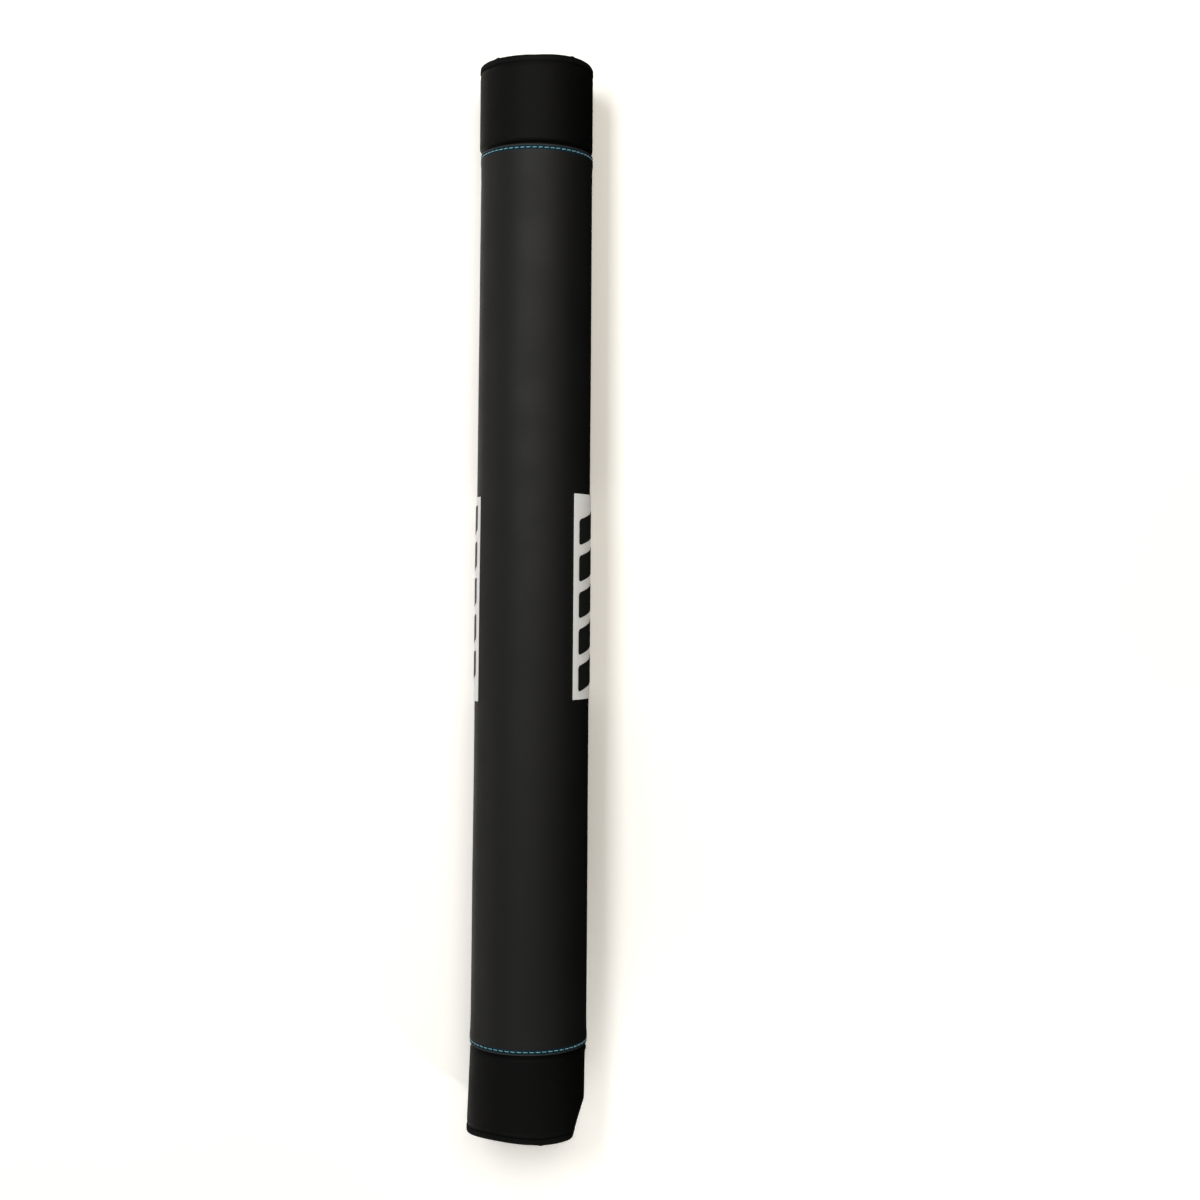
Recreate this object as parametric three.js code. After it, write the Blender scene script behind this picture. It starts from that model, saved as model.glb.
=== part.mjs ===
// A soft pad for a car's roof bar, lying on its side: a long foam tube in a coated fabric cover that wraps
// round the bar and closes with hook and loop along its underside, with a soft fabric cuff at each end.
// Millimetres, +Z up. The pad lies along Y, and the origin is on the floor under its middle.

import * as THREE from "three";

const { clamp, degToRad, lerp, radToDeg, smoothstep } = THREE.MathUtils;

// The whole pad
const overallLength = 710;
const padDiameter = 76.4; // at its middle
const nearEndSwell = 3.6; // how much wider the near seam is than the far one
const seamSpan = 590; // between the two coloured rows of stitches
const flatWidth = 20; // the flat that the pad's weight presses into its underside
const rollAngle = 9.2; // how far the pad lies turned about its own axis, in degrees
const clearance = 0.3; // between two pieces that touch
const facetAngle = 9; // degrees of girth in one facet

// Materials
const coverThickness = 1;
const cuffThickness = 2.5;
const sewnCuffThickness = 2.2; // where the seam squeezes the cuff
const tapeThickness = 1.2;
const liningThickness = 0.8;
const foamThickness = 20;

// The closure under the pad
const tapeWidth = 20;
const flapMargin = 3.5; // from the tape to the flap's edge
const flapGap = 1.5; // from the flap's edge to the step beside it
const stepLength = 7; // girth over which the cover climbs out from under the flap
const slitWidth = 1;
const tapeEndMargin = 1.5;

// The seam between cover and cuff
const hemWidth = 8; // fabric folded under at the cover's end
const stitchInset = 2.5; // from the fold to the stitches
const cuffTuck = 10; // how far the cuff runs under the cover
const coreGap = 1; // from the foam's end to the cuff
const foldRadius = 0.7;
const grooveWidth = 1.9; // the valley that the stitches pull
const grooveSlope = 0.3;
const threadDiameter = 0.7;
const stitchPitch = 4.1;
const stitchShare = 0.78; // of the pitch that shows as thread
const stitchRise = 0.5;
const threadEndMargin = 2;

// The cuffs
const cuffRiseLength = 4; // from under the hem up to the cuff's full girth
const slackShare = 0.4; // of a cuff beyond its rise: towards the mouth, where it has lost its round shape
const nearDent = 8.6; // how far one side of the near mouth has sunk in
const nearLean = 1.5; // of that, what it sinks before it goes slack
const dentBlend = 4; // how far from the flat's edge it rounds off
const nearFlare = 1.6; // how far the other side stands out
const nearMouthWave = 0.6;
const nearMouthLead = 0.7; // how much longer the flared side is
const farMouthWave = 1.3;
const bindingWidth = 3;
const bindingThickness = 0.4;
const cuffTapeMargin = 5; // from the cuff's tape to its binding, and to its rise

// The labels on the pad's two sides
const labelLength = 136;
const labelHeight = 58;
const labelSpacing = 74.6; // bare girth between the labels, over the pad's top
const labelThickness = 0.4;
const filmClearance = 0.1;
const printMargin = 5;
const printThickness = 0.2;
const barCount = 5;
const barWidth = 17;
const barSlant = 12; // how far a bar leans along the pad

// Worked out from the sizes above
const radius = padDiameter / 2;
const girthAngle = (length) => radToDeg(length / radius);
const axisHeight = Math.sqrt(radius ** 2 - (flatWidth / 2) ** 2);
const seamY = seamSpan / 2;
const foldY = seamY + stitchInset;
const riseY = foldY + cuffRiseLength;
const mouthY = overallLength / 2 - bindingThickness - clearance;
const bindingY = mouthY - bindingWidth;
const slackY = lerp(mouthY, riseY, slackShare);
const tuckY = foldY - cuffTuck;
const coreHalf = tuckY - coreGap;
const hemThickness = 2 * coverThickness;
const grooveDepth = clearance + threadDiameter;
const mouthDepth = bindingThickness + clearance; // where the binding pinches a cuff's edge

// How much deeper the pieces lie where the flap covers them: along the pad, at a seam, and along a cuff
const coverDrop = coverThickness + 2 * tapeThickness + 3 * clearance;
const seamDrop = hemThickness + sewnCuffThickness + 2 * clearance;
const cuffDrop = cuffThickness + tapeThickness + 2 * clearance;

// Angles round the girth run in degrees from the top towards +X. Wrapped pieces start at the flap's free
// edge, at about -209 degrees, go once round, and end under the flap, beside the slit.
const closureAngle = 180 - rollAngle;
const halfOverlap = girthAngle(tapeWidth / 2 + flapMargin);
const slitAngle = closureAngle + halfOverlap;
const innerEdge = slitAngle - girthAngle(slitWidth / 2);
const outerEdge = closureAngle - halfOverlap - 360;
const stepLow = closureAngle - halfOverlap - girthAngle(flapGap);
const stepHigh = stepLow - girthAngle(stepLength);

// 1 where the flap covers the girth, 0 where it doesn't, and a smooth step between
function underFlap(angle) {
  return smoothstep(angle, stepHigh, stepLow);
}

// How far along the way from one y to the next a place is, from 0 to 1
function wayFrom(start, end, y) {
  return clamp((y - start) / (end - start), 0, 1);
}

// A point at a depth below the pad's outer skin. Near the floor the layers are pressed flat, one on another.
function skinPoint(angle, y, depth) {
  const r = radius - depth;
  const a = degToRad(angle);
  return new THREE.Vector3(r * Math.sin(a), y, Math.max(axisHeight + r * Math.cos(a), depth));
}

// The girth's facets between two angles, the same for every layer, with extra ones on the step
function girthAngles(from, to) {
  const found = [from, to];
  for (let k = Math.ceil(from / facetAngle); k * facetAngle < to; k++) found.push(k * facetAngle);
  for (let k = 0; k <= 3; k++) found.push(lerp(stepHigh, stepLow, k / 3));
  const sorted = found.filter((a) => a >= from && a <= to).sort((a, b) => a - b);
  return sorted.filter((a, k) => k === 0 || a - sorted[k - 1] > 0.2);
}

// Sweeps a wall's lengthwise section, given as [y, depth] points, round the girth. place turns an angle, a y
// and a depth into a point.
function wrapRound(section, angles, place) {
  const shape = new THREE.Shape(section.map(([y, depth]) => new THREE.Vector2(y, -depth)));
  const steps = angles.length - 1;
  const geometry = new THREE.ExtrudeGeometry(shape, { depth: steps, steps, bevelEnabled: false });
  const position = geometry.attributes.position;
  for (let i = 0; i < position.count; i++) {
    const angle = angles[Math.round(position.getZ(i))];
    const point = place(angle, position.getX(i), -position.getY(i));
    position.setXYZ(i, point.x, point.y, point.z);
  }
  return geometry;
}

// Extrudes a cross-section, given as points in X and Z, along the foam's length
function alongCore(outline) {
  const geometry = new THREE.ExtrudeGeometry(new THREE.Shape(outline), {
    depth: 2 * coreHalf,
    bevelEnabled: false,
  });
  return geometry.rotateX(Math.PI / 2).translate(0, coreHalf, 0);
}

function rectangle(y0, y1, depth0, depth1) {
  return [
    [y0, depth0],
    [y1, depth0],
    [y1, depth1],
    [y0, depth1],
  ];
}

// The cover lies deeper under the flap, by another amount at the seams than along the foam
function coverPoint(angle, y, depth) {
  const drop = lerp(coverDrop, seamDrop, wayFrom(coreHalf, tuckY, Math.abs(y)));
  return skinPoint(angle, y, depth + drop * underFlap(angle));
}

// The cover's wall towards one end, on its outside: a stitched valley, then the rounded fold
function hemOutside(end) {
  const half = grooveWidth / 2;
  return [
    [end * coreHalf, 0],
    [end * tuckY, 0],
    [end * (seamY - half), 0],
    [end * (seamY - half + grooveSlope), grooveDepth],
    [end * (seamY + half - grooveSlope), grooveDepth],
    [end * (seamY + half), 0],
    [end * (foldY - foldRadius), 0],
    [end * foldY, foldRadius],
  ];
}

// The same on its inside: the fabric that is folded under doubles the wall
function hemInside(end) {
  return [
    [end * foldY, hemThickness - foldRadius / 2],
    [end * (foldY - foldRadius), hemThickness],
    [end * (foldY - hemWidth), hemThickness],
    [end * (foldY - hemWidth - foldRadius), coverThickness],
    [end * tuckY, coverThickness],
    [end * coreHalf, coverThickness],
  ];
}

function coverGeometry() {
  const section = [
    ...hemOutside(-1).reverse(),
    ...hemOutside(1),
    ...hemInside(1),
    ...hemInside(-1).reverse(),
  ];
  return wrapRound(section, girthAngles(outerEdge, innerEdge), coverPoint);
}

// A point beside the slit, in X and Z: so far from the pad's axis, and so far to the slit's side
function besideSlit(reach, side) {
  const a = degToRad(slitAngle);
  const x = reach * Math.sin(a) - side * Math.cos(a);
  return new THREE.Vector2(x, axisHeight + reach * Math.cos(a) + side * Math.sin(a));
}

// How far from the axis a line beside the slit meets the layer at a depth, round or pressed flat
function slitReach(side, depth) {
  const a = degToRad(slitAngle);
  const round = Math.sqrt((radius - depth) ** 2 - side ** 2);
  const pressed = (depth - axisHeight - side * Math.sin(a)) / Math.cos(a);
  return Math.cos(a) < 0 ? Math.min(round, pressed) : round;
}

// Angles round the pad from one side of the slit to the other, clear of its two faces
function anglesOffSlit(side, r) {
  const edge = radToDeg(Math.asin(side / r)) + 1;
  return girthAngles(slitAngle - 360 + edge, slitAngle - edge).slice(1, -1);
}

// Points round the bore from the slit's low face to its high one
function boreArc(r, side) {
  const reach = Math.sqrt(r ** 2 - side ** 2);
  const around = anglesOffSlit(side, r).reverse();
  const points = around.map((angle) => {
    const a = degToRad(angle);
    return new THREE.Vector2(r * Math.sin(a), axisHeight + r * Math.cos(a));
  });
  return [besideSlit(reach, side), ...points, besideSlit(reach, -side)];
}

// The foam's slit has parallel faces. On its low side the foam is cut back to make room for the tapes.
function foamGeometry() {
  const outside = coverThickness + clearance;
  const face = slitWidth / 2 + liningThickness + clearance;
  const girth = anglesOffSlit(face, radius - outside - coverDrop).map((angle) => {
    const point = skinPoint(angle, 0, outside + coverDrop * underFlap(angle));
    return new THREE.Vector2(point.x, point.z);
  });
  return alongCore([
    besideSlit(slitReach(-face, outside), -face),
    ...girth,
    besideSlit(slitReach(face, outside + coverDrop), face),
    ...boreArc(radius - outside - foamThickness, face),
  ]);
}

// One strip of lining that comes in through the slit, goes round the bore and comes out again
function liningGeometry() {
  const outerRadius = radius - coverThickness - foamThickness - 2 * clearance;
  const inner = slitWidth / 2;
  const outer = inner + liningThickness;
  const depth = coverThickness + clearance;
  return alongCore([
    ...[inner, outer].map((side) => besideSlit(slitReach(side, depth + coverDrop), side)),
    ...boreArc(outerRadius, outer),
    ...[-outer, -inner].map((side) => besideSlit(slitReach(side, depth), side)),
    ...boreArc(outerRadius - liningThickness, inner).reverse(),
  ]);
}

// The tapes lie between the flap and what it closes on, at the flap's own angles
function tapeAngles() {
  const half = girthAngle(tapeWidth / 2);
  return girthAngles(closureAngle - 360 - half, closureAngle - 360 + half);
}

// Layer 0 is the tape on the flap, and layer 1 the one that it closes on
function closureTapeGeometry(layer) {
  const depth = coverThickness + clearance + layer * (tapeThickness + clearance);
  const half = coreHalf - tapeEndMargin;
  return wrapRound(rectangle(-half, half, depth, depth + tapeThickness), tapeAngles(), skinPoint);
}

// How far a mouth's edge stands out beyond a square end. Neither mouth is cut or sewn quite straight.
function mouthLead(end, angle) {
  const a = degToRad(angle);
  if (end > 0) return farMouthWave * Math.max(Math.sin(2 * a), 0);
  const flaredSide = Math.max(-Math.sin(a), 0);
  return nearMouthWave * Math.sin(3 * a) + nearMouthLead * flaredSide ** 6;
}

// The smaller of a value and a limit, rounded off where the value passes the limit
function softMin(value, limit, blend) {
  const past = clamp(value - limit + blend, 0, 2 * blend);
  return Math.min(value, limit + blend) - past ** 2 / (4 * blend);
}

// The near cuff is flattened on the side towards +X, and flares on the other
function nearCuffShape(point, depth, along) {
  const lean = nearLean * wayFrom(riseY, slackY, along);
  const dent = lean + (nearDent - nearLean) * wayFrom(slackY, mouthY, along);
  const flaredSide = Math.max(-point.x / radius, 0);
  if (dent > 0) point.x = softMin(point.x, radius - dent - depth, Math.min(dent, dentBlend));
  point.x -= nearFlare * wayFrom(riseY, mouthY, along) * flaredSide ** 2;
  return point;
}

// Places a cuff's points. end is 1 for the far cuff and -1 for the near one.
function cuffPlacer(end) {
  return (angle, y, depth) => {
    const along = Math.abs(y);
    const drop = lerp(seamDrop, cuffDrop, wayFrom(foldY, riseY, along));
    const lead = mouthLead(end, angle) * wayFrom(slackY, mouthY, along);
    const dropped = depth + drop * underFlap(angle);
    const point = skinPoint(angle, end * (along + lead), dropped);
    return end > 0 ? point : nearCuffShape(point, dropped, along);
  };
}

function cuffGeometry(end) {
  const sewn = hemThickness + clearance;
  const rows = [riseY, slackY, bindingY - bindingWidth, bindingY, mouthY];
  const depths = [0, 0, 0, mouthDepth, mouthDepth];
  const outside = rows.map((y, k) => [y, depths[k]]);
  const inside = rows.map((y, k) => [y, depths[k] + cuffThickness]).reverse();
  const section = [
    [tuckY, sewn],
    [foldY + clearance, sewn],
    ...outside,
    ...inside,
    [foldY, sewn + sewnCuffThickness],
    [tuckY, sewn + sewnCuffThickness],
  ].map(([y, depth]) => [end * y, depth]);
  return wrapRound(section, girthAngles(outerEdge, innerEdge), cuffPlacer(end));
}

// The overcast edge of a cuff's mouth: a channel of thread round the fabric's raw edge
function bindingGeometry(end) {
  const outer = mouthDepth - clearance;
  const inner = mouthDepth + cuffThickness + clearance;
  const inside = mouthY + clearance;
  const tip = inside + bindingThickness;
  const section = [
    [bindingY, outer - bindingThickness],
    [tip, outer - bindingThickness],
    [tip, inner + bindingThickness],
    [bindingY, inner + bindingThickness],
    [bindingY, inner],
    [inside, inner],
    [inside, outer],
    [bindingY, outer],
  ].map(([y, depth]) => [end * y, depth]);
  return wrapRound(section, girthAngles(outerEdge, innerEdge), cuffPlacer(end));
}

function cuffTapeGeometry(end) {
  const from = riseY + cuffTapeMargin;
  const to = bindingY - cuffTapeMargin;
  const depth = cuffThickness + clearance;
  const section = rectangle(end * from, end * to, depth, depth + tapeThickness);
  return wrapRound(section, tapeAngles(), cuffPlacer(end));
}

// A row of stitches is one thread. It rises at each stitch and dips between them, except where the floor or
// the flap presses it flat.
function stitchingGeometry(end) {
  const r = threadDiameter / 2;
  const first = outerEdge + girthAngle(threadEndMargin);
  const last = innerEdge - girthAngle(threadEndMargin);
  const count = Math.round((last - first) / girthAngle(stitchPitch));
  const pitch = (last - first) / count;
  const pressed = girthAngle(flatWidth / 2 + stitchPitch);
  const angles = [];
  const rises = new Map();
  for (let k = 0; k < count; k++) {
    for (const [share, rise] of [
      [0, 0],
      [(1 - stitchShare) / 2, stitchRise],
      [(1 + stitchShare) / 2, stitchRise],
    ]) {
      const angle = first + (k + share) * pitch;
      const fromFloor = Math.abs(THREE.MathUtils.euclideanModulo(angle, 360) - 180);
      angles.push(angle);
      rises.set(angle, fromFloor > pressed && angle < stepHigh ? rise : 0);
    }
  }
  const section = [];
  for (let k = 0; k < 4; k++) {
    const turn = (k * Math.PI) / 2;
    section.push([end * seamY + r * Math.cos(turn), r - r * Math.sin(turn)]);
  }
  return wrapRound(section, angles, (angle, y, depth) => coverPoint(angle, y, depth - rises.get(angle)));
}

// The angles that a label or its print covers. side is 1 for the label towards +X and -1 for the other.
function labelAngles(side, margin) {
  const near = girthAngle(labelSpacing / 2 + margin);
  const far = girthAngle(labelSpacing / 2 + labelHeight - margin);
  return [-rollAngle + side * near, -rollAngle + side * far].sort((a, b) => a - b);
}

function labelGeometry(side) {
  const top = -filmClearance - labelThickness;
  const section = rectangle(-labelLength / 2, labelLength / 2, top, top + labelThickness);
  return wrapRound(section, girthAngles(...labelAngles(side, 0)), coverPoint);
}

// The print on a label is a row of plain leaning bars
function barGeometry(side, index) {
  const top = -labelThickness - 2 * filmClearance - printThickness;
  const [from, to] = labelAngles(side, printMargin);
  const half = labelLength / 2 - printMargin;
  const y0 = -half + ((2 * half - barWidth - barSlant) * index) / (barCount - 1);
  const section = rectangle(y0, y0 + barWidth, top, top + printThickness);
  return wrapRound(section, girthAngles(from, to), (angle, y, depth) =>
    coverPoint(angle, y + barSlant * wayFrom(from, to, angle), depth),
  );
}

// The pad is a little fatter towards its near end: each cross-section grows from the floor up
function swell(geometry) {
  const position = geometry.attributes.position;
  for (let i = 0; i < position.count; i++) {
    const towardsNear = clamp(-position.getY(i) / seamSpan, -0.5, 0.5);
    const grown = 1 + (nearEndSwell / padDiameter) * towardsNear;
    position.setXYZ(i, position.getX(i) * grown, position.getY(i), position.getZ(i) * grown);
  }
  geometry.computeVertexNormals();
  return geometry;
}

// Colours are as the eye reads them, in sRGB
function finish(colour, roughness) {
  return new THREE.MeshStandardMaterial({ color: new THREE.Color(colour), roughness, metalness: 0 });
}

const coatedFabric = finish(0x2e2e2f, 0.55);
const brushedFabric = finish(0x161616, 0.95);
const foam = finish(0x3a3a3c, 0.9);
const liningFabric = finish(0x232325, 0.8);
const hookTape = finish(0x1a1a1b, 0.7);
const loopTape = finish(0x1d1d1e, 0.95);
const seamThread = finish(0x1b7f96, 0.6);
const edgeThread = finish(0x141816, 0.8);
const whiteFilm = finish(0xf2f2f0, 0.5);
const blackFilm = finish(0x1b1e1c, 0.5);

const pad = new THREE.Group();

function addPiece(name, geometry, material) {
  const mesh = new THREE.Mesh(swell(geometry), material);
  mesh.name = name;
  pad.add(mesh);
}

addPiece("outer_cover", coverGeometry(), coatedFabric);
addPiece("foam_core", foamGeometry(), foam);
addPiece("bore_lining", liningGeometry(), liningFabric);
addPiece("closure_hook_tape", closureTapeGeometry(0), hookTape);
addPiece("closure_loop_tape", closureTapeGeometry(1), loopTape);

for (const [word, end] of [
  ["near", -1],
  ["far", 1],
]) {
  addPiece(`${word}_cuff`, cuffGeometry(end), brushedFabric);
  addPiece(`${word}_cuff_edge_binding`, bindingGeometry(end), edgeThread);
  addPiece(`${word}_cuff_hook_tape`, cuffTapeGeometry(end), hookTape);
  addPiece(`${word}_seam_stitching`, stitchingGeometry(end), seamThread);
}

for (const [word, side] of [
  ["left", -1],
  ["right", 1],
]) {
  addPiece(`${word}_label`, labelGeometry(side), whiteFilm);
  for (let k = 0; k < barCount; k++) {
    addPiece(`${word}_label_bar_${k + 1}`, barGeometry(side, k), blackFilm);
  }
}

export default pad;
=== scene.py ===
# %% [markdown]
# # A roof rack pad
# This lesson dresses one soft pad for a car's roof bar. On the real object a coated fabric cover wraps
# round a foam tube, closes with hook and loop underneath, and ends in a soft brushed cuff at each side.
# The solid model gives every size and place. The script hides its plain pieces and models finer ones in
# the same spots.

import math

import bmesh
import bpy
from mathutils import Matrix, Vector, noise


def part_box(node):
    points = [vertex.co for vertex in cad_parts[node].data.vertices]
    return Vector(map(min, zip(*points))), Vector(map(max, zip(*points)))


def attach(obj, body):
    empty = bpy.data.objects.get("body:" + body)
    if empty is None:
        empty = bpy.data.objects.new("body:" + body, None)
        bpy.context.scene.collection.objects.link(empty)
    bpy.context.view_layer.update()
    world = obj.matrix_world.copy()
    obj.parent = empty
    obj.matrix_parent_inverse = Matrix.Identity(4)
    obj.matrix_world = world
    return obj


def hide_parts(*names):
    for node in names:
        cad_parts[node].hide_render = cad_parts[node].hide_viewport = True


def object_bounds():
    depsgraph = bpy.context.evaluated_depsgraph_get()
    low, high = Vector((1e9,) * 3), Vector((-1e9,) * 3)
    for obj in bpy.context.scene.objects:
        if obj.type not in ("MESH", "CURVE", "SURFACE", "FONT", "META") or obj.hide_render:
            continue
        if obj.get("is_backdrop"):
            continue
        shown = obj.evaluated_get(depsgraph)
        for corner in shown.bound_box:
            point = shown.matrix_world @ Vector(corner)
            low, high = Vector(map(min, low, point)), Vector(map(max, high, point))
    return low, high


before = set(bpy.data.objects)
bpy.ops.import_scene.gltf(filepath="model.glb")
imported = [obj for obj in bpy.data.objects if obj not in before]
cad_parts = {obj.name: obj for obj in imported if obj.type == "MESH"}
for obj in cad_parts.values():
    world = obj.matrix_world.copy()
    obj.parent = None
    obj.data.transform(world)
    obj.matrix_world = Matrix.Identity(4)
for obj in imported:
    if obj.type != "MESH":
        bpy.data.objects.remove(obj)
cad_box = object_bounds()
print("the solid model's box, in millimetres:", [round(1000 * side) for side in cad_box[1] - cad_box[0]])

# %% [markdown]
# ## Camera
# The photograph looks straight down on the pad from about 1.2 m, a little off its middle, through a
# normal lens. Fitting a camera to the pad's outline and to its two curved rows of stitches gave the
# numbers here. The camera comes first, because every later choice is judged through it.

# %% The camera at the photograph's place
camera_place = (0.04532, 0.00855, 1.1779)
camera_pitch = math.radians(-0.4245)
camera_yaw = math.radians(0.5837)
camera_data = bpy.data.cameras.new("camera")
camera_data.sensor_width = 36
camera_data.lens = 50.79
camera = bpy.data.objects.new("camera", camera_data)
camera.location = camera_place
camera.rotation_euler = (camera_pitch, 0, camera_yaw)
bpy.context.scene.collection.objects.link(camera)
bpy.context.scene.camera = camera
print("camera", round(camera_place[2], 2), "m above the floor, lens", camera_data.lens, "mm")

# %% [markdown]
# ## Node helpers
# Every finish below is a small node tree. Three helpers keep those trees short: one starts a material whose
# plain numbers sit on the shader itself, one adds a node, links what is a socket and sets what is a
# number, and one turns a height into bump on the shader.


# %% Helpers for finishes
def start_finish(name, colour, roughness, **sockets):
    finish = bpy.data.materials.new(name)
    finish.use_nodes = True
    shader = finish.node_tree.nodes["Principled BSDF"]
    shader.inputs["Base Color"].default_value = (*colour, 1)
    shader.inputs["Roughness"].default_value = roughness
    for socket, value in sockets.items():
        shader.inputs[socket.replace("_", " ")].default_value = value
    return finish, finish.node_tree, shader


def add_node(tree, kind, inputs=None, **settings):
    made = tree.nodes.new("ShaderNode" + kind)
    for setting, value in settings.items():
        setattr(made, setting, value)
    for socket, value in (inputs or {}).items():
        if isinstance(value, bpy.types.NodeSocket):
            tree.links.new(value, made.inputs[socket])
        else:
            made.inputs[socket].default_value = value
    return made


def add_bump(tree, shader, height, strength, distance):
    bump = add_node(tree, "Bump", {"Height": height, "Strength": strength, "Distance": distance})
    tree.links.new(bump.outputs["Normal"], shader.inputs["Normal"])


print("finishes are made with a shader and small node trees")

# %% [markdown]
# ## Stage and light
# The pad lies on a white floor under two long soft lights that hang over its far half, so its far end is
# the brighter one. The left light is the stronger, so the shadow is a band on the right, warmed by the
# right light. Low lights from the left, the right and the near end fill in. Two narrow ones touch only
# the floor, beside the near end and out on the right, where the photograph's floor is plain white. The
# floor is a paler and warmer white to the camera than to the light that it throws back, which keeps the
# background white without washing out the black fabric.

# %% The floor
floor_half = 12
camera_white = (1.4, 1.37, 1.31)
bounce_white = 0.8
floor_mesh = bmesh.new()
bmesh.ops.create_grid(floor_mesh, x_segments=1, y_segments=1, size=floor_half)
floor_data = bpy.data.meshes.new("floor")
floor_mesh.to_mesh(floor_data)
floor_mesh.free()
floor = bpy.data.objects.new("floor", floor_data)
bpy.context.scene.collection.objects.link(floor)
floor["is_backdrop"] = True

floor_finish, floor_tree, floor_shader = start_finish("white_floor", (1, 1, 1), 1)
floor_shader.inputs["Specular IOR Level"].default_value = 0
floor_path = add_node(floor_tree, "LightPath")
seen_or_mirrored = add_node(
    floor_tree,
    "Math",
    {0: floor_path.outputs["Is Camera Ray"], 1: floor_path.outputs["Is Glossy Ray"]},
    operation="ADD",
)
seen_at_all = add_node(
    floor_tree,
    "Math",
    {0: seen_or_mirrored.outputs[0], 1: floor_path.outputs["Is Transmission Ray"]},
    operation="ADD",
    use_clamp=True,
)
floor_colour = add_node(
    floor_tree,
    "Mix",
    {
        "Factor": seen_at_all.outputs[0],
        6: (bounce_white, bounce_white, bounce_white, 1),
        7: (*camera_white, 1),
    },
    data_type="RGBA",
)
floor_tree.links.new(floor_colour.outputs[2], floor_shader.inputs["Base Color"])
floor_data.materials.append(floor_finish)
print("floor", 2 * floor_half, "m wide")


# %% Soft lights
def add_soft_light(name, place, aim, size, watts, colour, spread=180):
    data = bpy.data.lights.new(name, "AREA")
    data.shape = "RECTANGLE"
    data.size, data.size_y = size
    data.energy = watts
    data.color = colour
    data.spread = math.radians(spread)
    light = bpy.data.objects.new(name, data)
    light.location = place
    light.rotation_euler = (Vector(place) - Vector(aim)).to_track_quat("Z", "Y").to_euler()
    bpy.context.scene.collection.objects.link(light)
    print(name, "gives", watts, "watts")


add_soft_light("left_overhead", (-0.5, 0.65, 1.35), (-0.5, 0.65, 0), (0.4, 1.0), 10.8, (0.98, 0.99, 1))
add_soft_light("right_overhead", (0.3, 0.65, 1.35), (0.3, 0.65, 0), (0.6, 1.0), 7.4, (1, 0.96, 0.88))
add_soft_light("left_side", (-1.0, 0, 0.9), (0, 0, 0), (0.8, 2.4), 1.9, (1, 1, 1))
add_soft_light("right_side", (1.1, 0.35, 0.8), (0, 0.1, 0), (0.8, 1.6), 1.3, (1, 0.97, 0.92))
add_soft_light("near_end", (-0.3, -1.6, 0.9), (0, 0, 0), (1.2, 0.6), 8.5, (1, 1, 1))
add_soft_light("near_corner", (0.8, -1.15, 0.6), (0.1, -0.43, 0), (0.2, 0.2), 0.04, (1, 1, 1), spread=10)
add_soft_light("backdrop", (0.55, -0.75, 1.3), (0.55, -0.5, 0), (0.3, 0.3), 0.45, (1, 1, 1), spread=35)

world = bpy.data.worlds.new("studio")
world.use_nodes = True
bpy.context.scene.world = world
room_tree = world.node_tree
room_path = add_node(room_tree, "LightPath")
room_glow = 0.16
room_level = add_node(
    room_tree,
    "Mix",
    {"Factor": room_path.outputs["Is Camera Ray"], 2: room_glow, 3: 1.0},
    data_type="FLOAT",
)
room_tree.links.new(room_level.outputs[0], room_tree.nodes["Background"].inputs["Strength"])
room_tree.nodes["Background"].inputs["Color"].default_value = (1, 0.95, 0.87, 1)
bpy.context.scene.view_settings.view_transform = "Standard"
print("room glow", room_glow)

# %% [markdown]
# ## Black flags
# A studio keeps the edges of a black object dark with black cards, called flags. A tall one leans away
# from the pad's right side, where the pad is darkest, and a low one stands on its left. They take no
# light from anything and the camera doesn't see them: they are only there to be reflected.

# %% The flags
flag_length = 0.8
flag_lift = 0.001
black_card = start_finish("black_card", (0.005, 0.005, 0.005), 1)[0]


def add_flag(name, foot_x, top_x, height):
    mesh = bmesh.new()
    bmesh.ops.create_grid(mesh, x_segments=1, y_segments=1, size=0.5)
    for vert in mesh.verts:
        up = vert.co.y + 0.5
        x = foot_x + (top_x - foot_x) * up
        vert.co = (x, vert.co.x * flag_length, flag_lift + (height - flag_lift) * up)
    data = bpy.data.meshes.new(name)
    mesh.to_mesh(data)
    mesh.free()
    data.materials.append(black_card)
    flag = bpy.data.objects.new(name, data)
    bpy.context.scene.collection.objects.link(flag)
    flag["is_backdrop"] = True
    flag.visible_camera = False
    flag.visible_diffuse = False
    flag.visible_shadow = False
    print(name, "stands", height, "m high")


add_flag("right_flag", 0.042, 0.085, 0.09)
add_flag("left_flag", -0.09, -0.09, 0.03)

# %% [markdown]
# ## Sizes
# What the solid pieces' boxes give is read from them. The fabric's thicknesses and the closure's layout
# are the maker's own choices, so they are written here once, in metres.

# %% Sizes from the solid model, and the maker's own
MM = 0.001
fold_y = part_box("outer_cover")[1].y
core_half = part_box("foam_core")[1].y
seam_low, seam_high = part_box("far_seam_stitching")
seam_y = (seam_low.y + seam_high.y) / 2
overall_length = 710 * MM
radius = 38.2 * MM
near_end_swell = 3.6 * MM
flat_width = 20 * MM
roll_angle = math.radians(9.2)
clearance = 0.3 * MM
cover_thickness = 1 * MM
cuff_thickness = 2.5 * MM
sewn_cuff_thickness = 2.2 * MM
tape_thickness = 1.2 * MM
lining_thickness = 0.8 * MM
foam_thickness = 20 * MM
print("stitches to stitches", round(2 * seam_y / MM), "mm, fold to fold", round(2 * fold_y / MM), "mm")

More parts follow.
